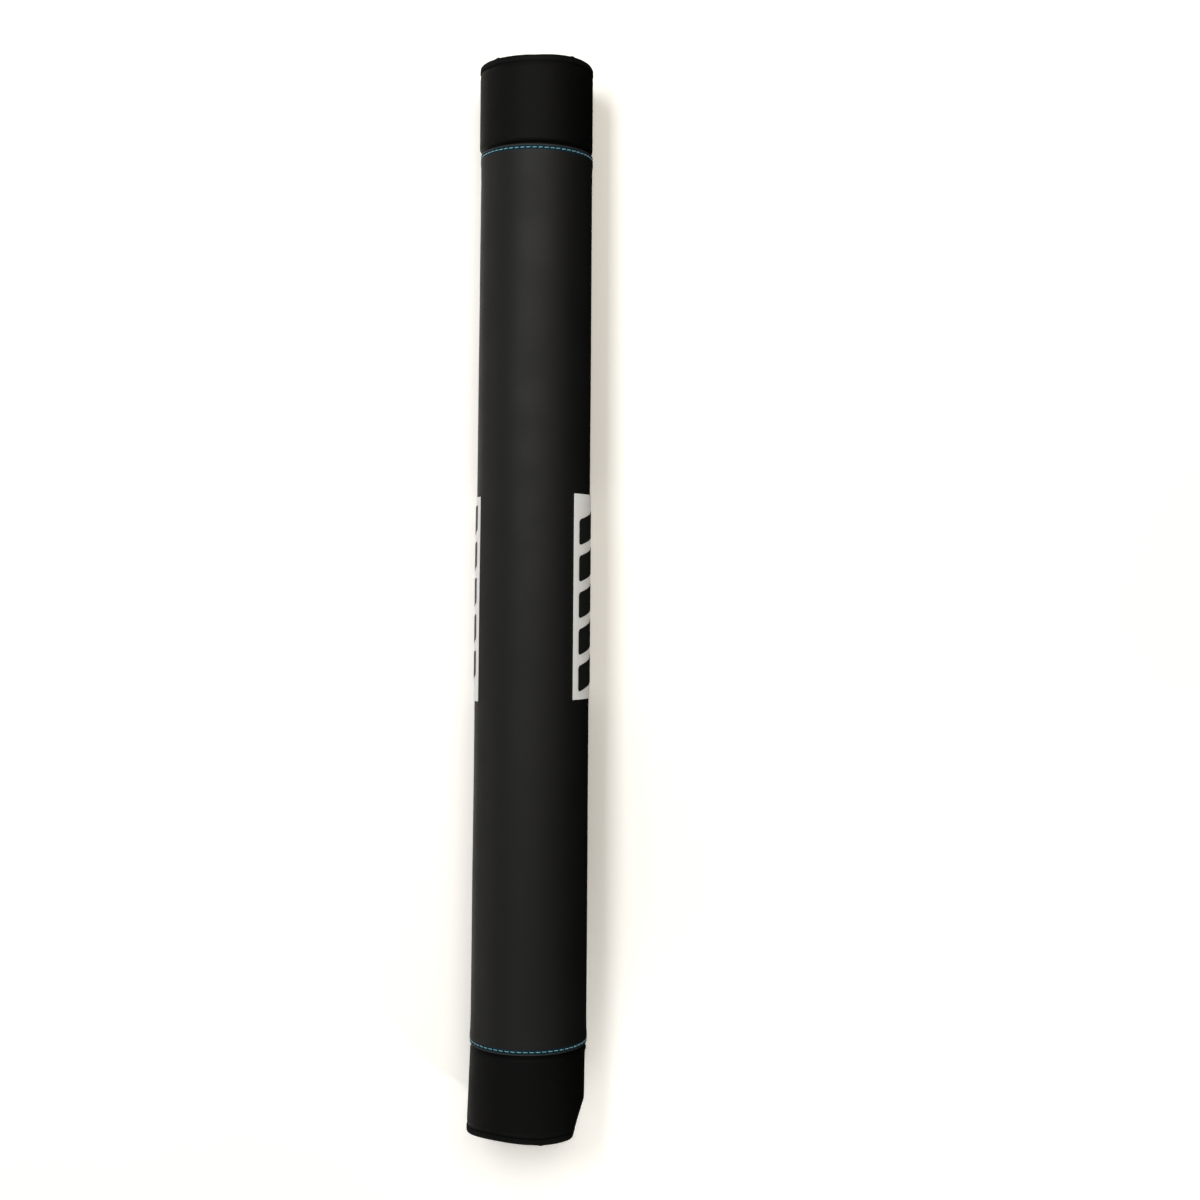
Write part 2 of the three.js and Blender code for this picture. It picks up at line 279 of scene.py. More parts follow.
# %% The closure under the pad
tape_width = 20 * MM
flap_margin = 3.5 * MM
flap_gap = 1.5 * MM
step_length = 7 * MM
slit_width = 1 * MM
full_turn = 2 * math.pi
axis_height = math.sqrt(radius**2 - (flat_width / 2) ** 2)
closure_angle = math.pi - roll_angle
half_overlap = (tape_width / 2 + flap_margin) / radius
slit_angle = closure_angle + half_overlap
inner_edge = slit_angle - slit_width / 2 / radius
outer_edge = closure_angle - half_overlap - full_turn
step_low = closure_angle - half_overlap - flap_gap / radius
step_high = step_low - step_length / radius
wrap_girth = (inner_edge - outer_edge) * radius
overlap = wrap_girth - full_turn * radius
print("the cover is cut", round(wrap_girth / MM), "mm wide, and overlaps by", round(overlap / MM), "mm")

# %% Along the pad
hem_width = 8 * MM
cuff_tuck = 10 * MM
cuff_rise = 4 * MM
slack_share = 0.4
binding_width = 3 * MM
binding_thickness = 0.4 * MM
hem_thickness = 2 * cover_thickness
rise_y = fold_y + cuff_rise
mouth_y = overall_length / 2 - binding_thickness - clearance
binding_y = mouth_y - binding_width
slack_y = mouth_y + (rise_y - mouth_y) * slack_share
tuck_y = fold_y - cuff_tuck
mouth_depth = binding_thickness + clearance
cover_drop = cover_thickness + 2 * tape_thickness + 3 * clearance
seam_drop = hem_thickness + sewn_cuff_thickness + 2 * clearance
cuff_drop = cuff_thickness + tape_thickness + 2 * clearance
print("each cuff shows", round((mouth_y - fold_y) / MM), "mm")

# %% [markdown]
# ## Wrapping flat cloth
# A sewn pad starts as flat cut pieces, so the mesh does too. Each piece of cloth is a flat grid whose
# columns run round the girth and whose rows run along the pad. Extruding the whole grid gives it a back,
# and then a place function wraps both faces round the pad. The flat coordinates stay on the mesh as its
# UV map, so a weave follows the cloth as it was cut.


# %% Places round the girth
pressed_turn = 0.42
free_turn = 1.0


def clamp(value, low=0, high=1):
    return max(low, min(high, value))


def mix(start, end, share):
    return start + (end - start) * share


def way(start, end, value):
    return clamp((value - start) / (end - start))


def smooth(share):
    return share * share * (3 - 2 * share)


def under_flap(angle):
    return smooth(way(step_high, step_low, angle))


def off_floor(angle):
    """0 where the pad's weight presses the cloth flat on the floor, and 1 well away from there."""
    from_floor = abs((angle % full_turn) - math.pi)
    return smooth(way(pressed_turn, free_turn, from_floor))


def growth(y):
    """How much fatter the pad is at a place along it than at its middle. The near end is the fatter one."""
    return 1 + near_end_swell / (2 * radius) * clamp(-y / (2 * seam_y), -0.5, 0.5)


def skin_point(angle, y, depth):
    """A point at a depth below the pad's skin, grown a little towards the near end."""
    reach = radius - depth
    height = max(axis_height + reach * math.cos(angle), depth)
    return Vector((reach * math.sin(angle) * growth(y), y, height * growth(y)))


print("the skin's top at the middle is", round(skin_point(0, 0, 0).z / MM, 1), "mm up")


# %% A wall of cloth from a flat grid
def cloth_wall(columns, rows, flat_rows, place):
    """columns are angles, rows are what place understands, and flat_rows say where they lie on the flat."""
    cloth = bmesh.new()
    bmesh.ops.create_grid(cloth, x_segments=len(columns) - 1, y_segments=len(rows) - 1, size=0.5)
    column_of = cloth.verts.layers.int.new("column")
    row_of = cloth.verts.layers.int.new("row")
    side_of = cloth.verts.layers.int.new("side")
    for vert in cloth.verts:
        vert[column_of] = round((vert.co.x + 0.5) * (len(columns) - 1))
        vert[row_of] = round((vert.co.y + 0.5) * (len(rows) - 1))
    back = bmesh.ops.extrude_face_region(cloth, geom=cloth.faces[:])
    for item in back["geom"]:
        if isinstance(item, bmesh.types.BMVert):
            item[side_of] = 1
    for vert in cloth.verts:
        vert.co = place(columns[vert[column_of]], rows[vert[row_of]], vert[side_of])
    flat = cloth.loops.layers.uv.new("flat")
    for face in cloth.faces:
        for loop in face.loops:
            vert = loop.vert
            loop[flat].uv = (columns[vert[column_of]] * radius, flat_rows[vert[row_of]])
    if cloth.calc_volume(signed=True) < 0:
        bmesh.ops.reverse_faces(cloth, faces=cloth.faces[:])
    return cloth


def finish_piece(name, mesh, finish, replaced=None, crease=math.radians(50)):
    data = bpy.data.meshes.new(name)
    mesh.to_mesh(data)
    mesh.free()
    data.shade_smooth()
    data.set_sharp_from_angle(angle=crease)
    data.materials.append(finish)
    piece = bpy.data.objects.new(name, data)
    bpy.context.scene.collection.objects.link(piece)
    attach(piece, "root")
    if replaced:
        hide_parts(replaced)
    print(name, "has", sum(len(face.vertices) - 2 for face in data.polygons), "triangles")
    return piece


def spaced(start, end, step):
    """Evenly spaced values from start to end, about a step apart."""
    count = max(1, math.ceil(abs(end - start) / step))
    return [mix(start, end, k / count) for k in range(count + 1)]


print("cloth is wrapped from flat grids")

# %% [markdown]
# ## Cover
# The cover is one piece of coated fabric. At both ends it is folded under, so its edge is a soft double
# roll, and one row of stitches pulls a narrow valley through all the layers. Between two needle holes the
# fabric stands up a little, which gives a seam its faint ripple. The foam behind it is never quite even,
# so the skin has long, low waves that only show where light glances off them.

# %% Stitch places round the girth
stitch_pitch = 4.1 * MM
thread_end_margin = 2 * MM
stitch_first = outer_edge + thread_end_margin / radius
stitch_last = inner_edge - thread_end_margin / radius
stitch_count = round((stitch_last - stitch_first) * radius / stitch_pitch)
stitch_step = (stitch_last - stitch_first) / stitch_count


def stitch_phase(angle):
    """0 at a needle hole, 0.5 at the middle of a stitch."""
    return ((angle - stitch_first) / stitch_step) % 1


print(stitch_count, "stitches in each seam,", round(stitch_step * radius / MM, 2), "mm apart")

# %% The cover's waves, its hem and its seam valley
wave_height = 0.16 * MM
wave_girth = 22 * MM
wave_length = 75 * MM
hem_lift = 0.35 * MM
hem_slope = 2.5 * MM
valley_depth = 0.5 * MM
valley_width = 0.8 * MM
valley_reach = 4
hole_share = 0.18
pucker_height = 0.07 * MM
pucker_reach = 3 * MM


def cover_lift(angle, y):
    """How far the skin stands out beyond its plain shape, in metres."""
    along = abs(y)
    round_scale = radius / wave_girth
    place = Vector((math.sin(angle) * round_scale, y / wave_length, math.cos(angle) * round_scale))
    hem = hem_lift * smooth(way(fold_y - hem_width - hem_slope, fold_y - hem_width + hem_slope, along))
    fading = math.exp(-abs(along - seam_y) / pucker_reach)
    pucker = -pucker_height * math.cos(full_turn * stitch_phase(angle)) * fading
    return (wave_height * noise.noise(place) + hem + pucker) * off_floor(angle)


def seam_valley(angle, y):
    """How deep the stitches have pulled the skin in. It is deepest at the needle holes."""
    across = (abs(y) - seam_y) / valley_width
    if abs(across) > valley_reach:
        return 0
    pulled = mix(1, math.cos(full_turn * stitch_phase(angle)), hole_share)
    return valley_depth * math.exp(-(across**2)) * pulled


def cover_point(angle, y, depth):
    """A point at a depth in the cover's wall, where the seam squeezes the doubled fabric."""
    drop = mix(cover_drop, seam_drop, way(core_half, tuck_y, abs(y))) * under_flap(angle)
    valley = seam_valley(angle, y)
    squeezed = valley + depth * (1 - valley / hem_thickness)
    return skin_point(angle, y, squeezed + drop - cover_lift(angle, y))


print("the seam's valley is", valley_depth / MM, "mm deep")

# %% The cover's rows, from one hem's raw edge to the other's
fold_gap = 0.02 * MM
fold_radius = cover_thickness + fold_gap / 2
fold_centre = fold_y - fold_radius
fold_steps = 9
fine_row = 0.4 * MM
coarse_row = 10 * MM
seam_zone = 6 * MM
edge_ease = 0.3 * MM


def hem_rows(end):
    """Rows from the raw edge round the fold and past the seam, as the skin's and the back's y and depth."""
    rows = []
    for y in spaced(fold_y - hem_width, fold_centre, 2 * fine_row):
        rows.append(((y, 2 * fold_radius), (y, fold_radius + fold_gap / 2)))
    for k in range(1, fold_steps):
        turn = math.pi * k / fold_steps
        skin = (fold_centre + fold_radius * math.sin(turn), fold_radius * (1 + math.cos(turn)))
        back = (fold_centre + fold_gap / 2 * math.sin(turn), fold_radius + fold_gap / 2 * math.cos(turn))
        rows.append((skin, back))
    for y in spaced(fold_centre, seam_y - seam_zone, fine_row):
        rows.append(((y, 0), (y, cover_thickness)))
    return [tuple((end * y, depth) for y, depth in row) for row in rows]


middle_rows = [
    ((y, 0), (y, cover_thickness)) for y in spaced(seam_zone - seam_y, seam_y - seam_zone, coarse_row)[1:-1]
]
cover_rows = hem_rows(-1) + middle_rows + hem_rows(1)[::-1]


def flat_lengths(rows):
    """How far along the flat cloth each row lies, from the cloth's own middle."""
    middles = [Vector(skin).lerp(Vector(back), 0.5) for skin, back in rows]
    lengths = [0]
    for before, after in zip(middles, middles[1:]):
        lengths.append(lengths[-1] + (after - before).length)
    return [length - lengths[-1] / 2 for length in lengths]


cover_flat = flat_lengths(cover_rows)
print("the cover is cut", round((cover_flat[-1] - cover_flat[0]) / MM), "mm long")

# %% [markdown]
# ## Cover's finish
# The fabric is woven polyester with a dull coating. Its black is nearly all soft sheen from the coating,
# so the colour stays very dark and the roughness carries the look. A fine weave shows through as bump,
# and patches of the coating are a little smoother. The flat map tells the finish where the seam is.
# Beyond it the folded hem is painted a lighter grey: a painted highlight where its rounded fold catches the
# light. Along the stitches the needle has broken the coating, so the fabric is dull there, and it has taken
# up some of the thread's colour.

# %% Masks that follow the seam
# Where the hem's painted highlight starts past the seam, and how softly it comes in.
highlight_start = 1 * MM
highlight_blend = 1.2 * MM
stain_half = 0.9 * MM
stain_reach = 1.5 * MM


def ramp(tree, value, start, end, low=0, high=1):
    """A smooth step of a socket's value, from low to high."""
    reach = {"Value": value, "From Min": start, "From Max": end, "To Min": low, "To Max": high}
    return add_node(tree, "MapRange", reach, interpolation_type="SMOOTHSTEP").outputs[0]


def times(tree, first, second):
    return add_node(tree, "Math", {0: first, 1: second}, operation="MULTIPLY").outputs[0]


def tinted(tree, share, low, high):
    """A colour between two others, by a socket's share."""
    return add_node(tree, "Mix", {"Factor": share, 6: (*low, 1), 7: (*high, 1)}, data_type="RGBA").outputs[2]


def seam_masks(tree, flat):
    """Two shares from the flat map: how far past the seam on the hem, and how near the stitches."""
    places = add_node(tree, "SeparateXYZ", {0: flat})
    along = add_node(tree, "Math", {0: places.outputs["Y"]}, operation="ABSOLUTE").outputs[0]
    hem = ramp(tree, along, seam_y + highlight_start, seam_y + highlight_start + highlight_blend)
    from_seam = add_node(tree, "Math", {0: along, 1: seam_y}, operation="SUBTRACT").outputs[0]
    aside = add_node(tree, "Math", {0: from_seam}, operation="ABSOLUTE").outputs[0]
    return hem, ramp(tree, aside, stain_half, stain_reach, 1, 0)


# The hem is painted lighter from here outwards: a painted highlight on its rounded fold.
print("the hem wears from", (seam_y + highlight_start) / MM, "mm outwards")

# %% A weave's pattern
def weave_height(tree, flat, pitch):
    """Warp times weft. A wave texture of scale 1 repeats every 2 pi / 20 metres."""
    bands = {"Vector": flat, "Scale": full_turn / 20 / pitch}
    warp = add_node(tree, "TexWave", bands, bands_direction="X")
    weft = add_node(tree, "TexWave", bands, bands_direction="Y")
    return times(tree, warp.outputs["Fac"], weft.outputs["Fac"])


print("a weave is two crossing waves on the flat map")

# %% Coated fabric
weave_pitch = 0.55 * MM
speck_cells = 70
speck_size = 0.018
speckless_share = 0.93
fabric_black = (0.0025, 0.0025, 0.0026)
# The lighter grey is a painted highlight on the hem's rounded fold.
hem_highlight_grey = (0.032, 0.031, 0.034)
thread_stain = (0.0015, 0.025, 0.042)
lint_grey = (0.11, 0.115, 0.12)
coating_shine = 0.32
stained_shine = 0.05

coated_fabric, tree, shader = start_finish("coated_fabric", fabric_black, 0.6)
where = add_node(tree, "TexCoord").outputs["Object"]
flat = add_node(tree, "UVMap", uv_map="flat").outputs["UV"]
patchy = {"Vector": where, "Scale": 28, "Detail": 3, "Roughness": 0.55}
patches = add_node(tree, "TexNoise", patchy).outputs["Fac"]
tree.links.new(ramp(tree, patches, 0.3, 0.7, 0.57, 0.63), shader.inputs["Roughness"])

hem_share, stain_share = seam_masks(tree, flat)
# Beyond the seam the hem is painted a lighter, grainy grey: a painted highlight where the rounded fold
# catches the light.
grainy = {"Vector": flat, "Scale": 420, "Detail": 4, "Roughness": 0.6}
highlight_grain = add_node(tree, "TexNoise", grainy).outputs["Fac"]
hem_highlight = times(tree, hem_share, ramp(tree, highlight_grain, 0.25, 0.6, 0.45, 1))
highlighted_black = tinted(tree, hem_highlight, fabric_black, hem_highlight_grey)
stained = add_node(tree, "Mix", {"Factor": stain_share, 6: highlighted_black, 7: (*thread_stain, 1)}, data_type="RGBA")
shine = ramp(tree, stain_share, 0, 1, coating_shine, stained_shine)
tree.links.new(shine, shader.inputs["Specular IOR Level"])
lint = add_node(tree, "TexVoronoi", {"Vector": where, "Scale": speck_cells}, feature="F1")
speck = ramp(tree, lint.outputs["Distance"], 0.6 * speck_size, speck_size, 1, 0)
chance = add_node(tree, "SeparateColor", {0: lint.outputs["Color"]}).outputs[0]
rare = add_node(tree, "Math", {0: chance, 1: speckless_share}, operation="GREATER_THAN").outputs[0]
linted = add_node(
    tree,
    "Mix",
    {"Factor": times(tree, speck, rare), 6: stained.outputs[2], 7: (*lint_grey, 1)},
    data_type="RGBA",
)
tree.links.new(linted.outputs[2], shader.inputs["Base Color"])
add_bump(tree, shader, weave_height(tree, flat, weave_pitch), 0.25, 0.05 * MM)
print("coated fabric has a thread every", weave_pitch / MM, "mm")

# %% The cover
cover_columns = [outer_edge, outer_edge + edge_ease / radius]
cover_columns += [stitch_first + stitch_step * k / 4 for k in range(4 * stitch_count + 1)]
cover_columns += [inner_edge - edge_ease / radius, inner_edge]


def eased(depth, side, angle, edges):
    """Rounds a wall's cut edges: at its first and last column both faces draw in a little."""
    if angle in edges:
        return depth + edge_ease * (1 if side == 0 else -1)
    return depth


def cover_place(angle, row, side):
    y, depth = row[side]
    return cover_point(angle, y, eased(depth, side, angle, (outer_edge, inner_edge)))


cover_cloth = cloth_wall(cover_columns, cover_rows, cover_flat, cover_place)
cover = finish_piece("wrapped_cover", cover_cloth, coated_fabric, "outer_cover")

# %% [markdown]
# ## Seam stitches
# A lockstitch shows as one thread that comes up through a needle hole, lies along the surface and goes
# down again, so it is modelled as one round thread whose depth follows that path. It could be a curve
# with a bevel, but a tube from a flat grid has a UV map along the thread, which the twist of its plies
# needs.

# %% Sewing thread's finish
thread_twist = 1.3 * MM


def thread_finish(name, colour, roughness, sheen):
    """A matte thread whose plies show as slanting bump, with a little unevenness in its dye."""
    finish, tree, shader = start_finish(name, colour, roughness, Sheen_Weight=sheen, Sheen_Roughness=0.5)
    flat = add_node(tree, "UVMap", uv_map="flat")
    along = add_node(tree, "SeparateXYZ", {0: flat.outputs["UV"]})
    turns = add_node(tree, "Math", {0: along.outputs["X"], 1: full_turn / thread_twist}, operation="MULTIPLY")
    slanted = add_node(tree, "Math", {0: turns.outputs[0], 1: along.outputs["Y"]}, operation="ADD")
    plies = add_node(tree, "Math", {0: slanted.outputs[0]}, operation="SINE")
    add_bump(tree, shader, plies.outputs[0], 0.5, 0.06 * MM)
    where = add_node(tree, "TexCoord")
    dye = add_node(tree, "TexNoise", {"Vector": where.outputs["Object"], "Scale": 700, "Detail": 2})
    darker = tuple(0.55 * channel for channel in colour)
    tree.links.new(tinted(tree, dye.outputs["Fac"], darker, colour), shader.inputs["Base Color"])
    print(name, "has a ply every", thread_twist / MM, "mm")
    return finish


seam_thread = thread_finish("blue_green_thread", (0.3, 0.6, 0.66), 0.55, 0.25)


# %% A thread from a flat grid
merge_distance = 0.001 * MM


def thread_tube(stations, sides, place):
    """stations run along the thread, and place turns a station and an angle round the thread into a point."""
    tube = bmesh.new()
    bmesh.ops.create_grid(tube, x_segments=len(stations) - 1, y_segments=sides, size=0.5)
    flat = tube.loops.layers.uv.new("flat")
    spots = {}
    for vert in tube.verts:
        station = round((vert.co.x + 0.5) * (len(stations) - 1))
        turn = full_turn * round((vert.co.y + 0.5) * sides) / sides
        spots[vert] = (station, turn)
    for face in tube.faces:
        for loop in face.loops:
            station, turn = spots[loop.vert]
            loop[flat].uv = (stations[station][0], turn)
    for vert, (station, turn) in spots.items():
        vert.co = place(stations[station], turn)
    bmesh.ops.remove_doubles(tube, verts=tube.verts[:], dist=merge_distance)
    bmesh.ops.holes_fill(tube, edges=[edge for edge in tube.edges if edge.is_boundary], sides=sides)
    if tube.calc_volume(signed=True) < 0:
        bmesh.ops.reverse_faces(tube, faces=tube.faces[:])
    return tube


print("threads are rolled up from flat grids too")

# %% The two seams
thread_radius = 0.25 * MM
hole_depth = 1.5 * MM
arch_depth = 0.1 * MM
arch_share = 0.25
stitch_slant = 0.12 * MM
rings_in_stitch = 10
seam_thread_sides = 8

seam_stations = []
for k in range(stitch_count * rings_in_stitch + 1):
    angle = stitch_first + stitch_step * k / rings_in_stitch
    seam_stations.append(((angle - stitch_first) * radius, angle, (k / rings_in_stitch) % 1))


def seam_place(end):
    def place(station, turn):
        _, angle, phase = station
        arch = smooth(clamp(min(phase, 1 - phase) / arch_share))
        top = mix(thread_radius, arch_depth, off_floor(angle))
        depth = mix(hole_depth, top, arch)
        y = end * (seam_y + stitch_slant * (2 * phase - 1) * arch) + thread_radius * math.cos(turn)
        drop = mix(cover_drop, seam_drop, way(core_half, tuck_y, abs(y))) * under_flap(angle)
        depth += drop - thread_radius * math.sin(turn)
        return skin_point(angle, y, depth - hem_lift * off_floor(angle))

    return place


for word, end in (("near", -1), ("far", 1)):
    tube = thread_tube(seam_stations, seam_thread_sides, seam_place(end))
    finish_piece(f"{word}_seam_thread", tube, seam_thread, f"{word}_seam_stitching")

# %% [markdown]
# ## Cuffs
# A cuff is a strip of thick brushed cloth, tucked under the cover's hem and sewn there. It is a sheet
# wrapped round, like the cover, but nothing fills it, so towards its mouth it has gone a little slack.
# The far mouth keeps its round shape, a little fuller on its left. The near one has sunk in on its right
# and stands out on its left. A mouth's edge isn't quite square either: it waves a little and stands out in
# a small peak or two, whose places and width are angles round the girth, in radians.

# %% How the cuffs lose their round shape
near_dent = 6.9 * MM
near_lean = 0.2 * MM
dent_blend = 4 * MM
near_flare = 1.8 * MM
near_mouth_wave = 0.9 * MM
near_mouth_lead = 0.8 * MM
near_reach = 0.7 * MM
far_flare = 1.2 * MM
far_mouth_wave = 1.3 * MM
far_reach = 0.4 * MM
peak_lead = 0.6 * MM
peak_turn = 0.035
far_peaks = (-0.74, 0.71)
near_peaks = (0.27,)


def peaks(angle, places):
    return peak_lead * sum(math.exp(-(((angle - place) / peak_turn) ** 2)) for place in places)


def mouth_lead(end, angle):
    """How far a mouth's edge stands out beyond a square end."""
    if end > 0:
        return far_reach + far_mouth_wave * max(math.sin(2 * angle), 0) + peaks(angle, far_peaks)
    corner = near_mouth_lead * max(-math.sin(angle), 0) ** 6
    return near_reach + near_mouth_wave * math.sin(3 * angle) + corner + peaks(angle, near_peaks)


def soft_min(value, limit, blend):
    """The smaller of a value and a limit, rounded off where the value passes the limit."""
    past = clamp(value - limit + blend, 0, 2 * blend)
    return min(value, limit + blend) - past**2 / (4 * blend)


def near_cuff_shape(point, depth, along):
    lean = near_lean * way(rise_y, slack_y, along)
    dent = lean + (near_dent - near_lean) * way(slack_y, mouth_y, along)
    flared = max(-point.x / radius, 0)
    if dent > 0:
        point.x = soft_min(point.x, radius - dent - depth, min(dent, dent_blend))
    point.x -= near_flare * way(rise_y, mouth_y, along) * flared**2
    return point


def far_cuff_shape(point, along):
    point.x -= far_flare * way(fold_y, rise_y, along) * max(-point.x / radius, 0) ** 2
    return point


print("the near mouth has sunk in by", near_dent / MM, "mm")

# %% Places on a cuff
cuff_wave_height = 0.3 * MM
cuff_wave_size = 17 * MM
cuff_wave_squeeze = 1.2
cuff_wave_sink = 0.4


def cuff_lift(angle, along):
    """Low waves in the slack cloth, growing towards the mouth and pressed flat on the floor."""
    place = Vector((math.sin(angle) * radius, along * cuff_wave_squeeze, math.cos(angle) * radius))
    growing = way(fold_y, mouth_y, along)
    wave = noise.noise(place / cuff_wave_size) - cuff_wave_sink
    return cuff_wave_height * growing * wave * off_floor(angle)


def cuff_place(end):
    def place(angle, along, depth):
        drop = mix(seam_drop, cuff_drop, way(fold_y, rise_y, along)) * under_flap(angle)
        lead = mouth_lead(end, angle) * way(slack_y, mouth_y, along)
        dropped = depth + drop
        point = skin_point(angle, end * (along + lead), dropped - cuff_lift(angle, along))
        return far_cuff_shape(point, along) if end > 0 else near_cuff_shape(point, dropped, along)

    return place


def cuff_layer_place(end, edges):
    """Puts both faces of a cloth on a cuff, with its two cut edges eased."""
    place_on_cuff = cuff_place(end)

    def place(angle, row, side):
        along, depth = row[side]
        return place_on_cuff(angle, along, eased(depth, side, angle, edges))

    return place


print("the slack waves are", cuff_wave_height / MM, "mm high")

# %% [markdown]
# ## Brushed fabric
# The cuffs are a knitted fabric whose face has been brushed up into a nap. It is blacker than the cover,
# because the nap swallows light. Fine noise gives the nap its streaks and its mottled look.

# %% Brushed fabric's finish
nap_black = (0.0005, 0.0005, 0.0005)
nap_grey = (0.0018, 0.0018, 0.0017)
brushed_fabric, tree, shader = start_finish("brushed_fabric", nap_black, 0.6, Specular_IOR_Level=0.11)
flat = add_node(tree, "UVMap", uv_map="flat").outputs["UV"]
stretched = add_node(tree, "Mapping", {"Vector": flat, "Scale": (1, 2.4, 1)}).outputs[0]
nap = add_node(tree, "TexNoise", {"Vector": stretched, "Scale": 1400, "Detail": 4, "Roughness": 0.7})
mottle = add_node(tree, "TexNoise", {"Vector": flat, "Scale": 160, "Detail": 4, "Roughness": 0.65})
uneven = add_node(
    tree, "Mix", {"Factor": 0.45, 2: nap.outputs["Fac"], 3: mottle.outputs["Fac"]}, data_type="FLOAT"
).outputs[0]
shade = tinted(tree, ramp(tree, uneven, 0.35, 0.7), nap_black, nap_grey)
tree.links.new(shade, shader.inputs["Base Color"])
add_bump(tree, shader, uneven, 0.6, 0.35 * MM)
print("brushed fabric is blacker than the cover")

# %% The two cuffs
cuff_row = 1.4 * MM
girth_row = 1.05 * MM
cuff_under_hem = hem_thickness + clearance

cuff_rows = []
for along in spaced(tuck_y, mouth_y, cuff_row) + spaced(fold_y, rise_y, cuff_row / 3)[1:-1]:
    skin = cuff_under_hem * (1 - smooth(way(fold_y + clearance, rise_y, along)))
    skin += mouth_depth * smooth(way(binding_y - binding_width, binding_y, along))
    wall = mix(sewn_cuff_thickness, cuff_thickness, way(fold_y, rise_y, along))
    cuff_rows.append(((along, skin), (along, skin + wall)))
cuff_rows.sort()
wrap_columns = spaced(outer_edge + edge_ease / radius, inner_edge - edge_ease / radius, girth_row / radius)
wrap_columns = [outer_edge] + wrap_columns + [inner_edge]

for word, end in (("near", -1), ("far", 1)):
    place = cuff_layer_place(end, (outer_edge, inner_edge))
    cloth = cloth_wall(wrap_columns, cuff_rows, flat_lengths(cuff_rows), place)
    finish_piece(f"{word}_cuff_cloth", cloth, brushed_fabric, f"{word}_cuff")

# %% [markdown]
# ## Overcast edges
# A raw edge of this fabric would fray, so a machine has thrown thread over it all round each mouth. Its loops
# lie close together and lean a little. They are ridges on a thin channel that wraps over the cuff's edge. The
# channel belongs to the cuff's cloth.

# %% The loops of thread over an edge
loop_pitch = 1.3 * MM
loop_height = 0.13 * MM
loop_lean = 0.7
columns_in_loop = 5
edge_thread = thread_finish("edge_thread", (0.001, 0.0024, 0.0017), 0.62, 0.01)
edge_thread.node_tree.nodes["Principled BSDF"].inputs["Specular IOR Level"].default_value = 0.11
outer_corner = 0.8 * MM
inner_corner = 0.4 * MM
channel_outer = mouth_depth - clearance
channel_inner = mouth_depth + cuff_thickness + clearance
channel_end = mouth_y + clearance


def channel_line(offset, corner):
    """The channel's section as y and depth: along its outside, round two corners and back inside."""
    top, bottom, tip = channel_outer - offset, channel_inner + offset, channel_end + offset
    line = [(y, top) for y in spaced(binding_y, tip - corner, binding_width / 4)]
    for k in range(1, 4):
        turn = math.pi / 2 * k / 3
        line.append((tip - corner + corner * math.sin(turn), top + corner - corner * math.cos(turn)))
    line.append((tip, (top + bottom) / 2))
    for k in range(3):
        turn = math.pi / 2 * k / 3
        line.append((tip - corner + corner * math.cos(turn), bottom - corner + corner * math.sin(turn)))
    line += [(y, bottom) for y in spaced(tip - corner, binding_y, binding_width / 4)]
    return line


channel_rows = list(zip(channel_line(binding_thickness, outer_corner), channel_line(0, inner_corner)))
channel_flat = flat_lengths(channel_rows)
loop_count = round(wrap_girth / loop_pitch)
loop_columns = spaced(outer_edge, inner_edge, (inner_edge - outer_edge) / (loop_count * columns_in_loop))


def overcast_place(end):
    place_on_cuff = cuff_place(end)
    middle = (channel_outer + channel_inner) / 2

    def place(angle, row, side):
        along, depth = row[side]
        if side == 0:
            share = channel_rows.index(row) / len(channel_rows)
            turns = (angle - outer_edge) * radius / loop_pitch + loop_lean * share
            ridge = loop_height * math.sin(full_turn * turns) * off_floor(angle)
            towards = Vector((along - (channel_end - cuff_thickness), depth - middle)).normalized()
            along, depth = along + ridge * towards.x, depth + ridge * towards.y
        return place_on_cuff(angle, along, depth)

    return place


for word, end in (("near", -1), ("far", 1)):
    channel = cloth_wall(loop_columns, channel_rows, channel_flat, overcast_place(end))
    edge = finish_piece(
        f"{word}_overcast_edge", channel, edge_thread, f"{word}_cuff_edge_binding"
    )
print(loop_count, "loops round each mouth")

# %% [markdown]
# ## Foam tube
# The pad's body is a tube of closed-cell foam, slit along one side so that it opens round the bar. It
# shows only at its two ends, deep inside the cuffs. It is a thick wall wrapped from one face of the slit
# to the other, with softly rounded ends, and its cells are bump.

# %% Foam's finish
foam_dark = (0.022, 0.022, 0.024)
foam_light = (0.06, 0.06, 0.063)
foam_finish, tree, shader = start_finish("closed_cell_foam", foam_dark, 0.9, Specular_IOR_Level=0.2)
where = add_node(tree, "TexCoord").outputs["Object"]
cells = add_node(tree, "TexVoronoi", {"Vector": where, "Scale": 1100}, feature="F1")
larger = add_node(tree, "TexVoronoi", {"Vector": where, "Scale": 420}, feature="SMOOTH_F1")
both = {0: cells.outputs["Distance"], 1: larger.outputs["Distance"]}
pits = add_node(tree, "Math", both, operation="ADD").outputs[0]
add_bump(tree, shader, pits, 0.7, 0.4 * MM)
tree.links.new(tinted(tree, ramp(tree, pits, 0.2, 1), foam_dark, foam_light), shader.inputs["Base Color"])
print("foam has cells about a millimetre across")


# %% Beside the slit
def beside_slit(reach, side):
    """X and Z of a point so far from the pad's axis, and so far to the slit's side."""
    x = reach * math.sin(slit_angle) - side * math.cos(slit_angle)
    return x, axis_height + reach * math.cos(slit_angle) + side * math.sin(slit_angle)


def slit_reach(side, depth):
    """How far from the axis a line beside the slit meets the layer at a depth, round or pressed flat."""
    round_reach = math.sqrt((radius - depth) ** 2 - side**2)
    pressed = (depth - axis_height - side * math.sin(slit_angle)) / math.cos(slit_angle)
    return min(round_reach, pressed)


def grown_point(across, y):
    """Puts an X and a Z at a place along the pad, grown towards the near end as skin_point does."""
    return Vector((across[0] * growth(y), y, across[1] * growth(y)))


print("the slit comes out", round(math.degrees(slit_angle)), "degrees round from the top")

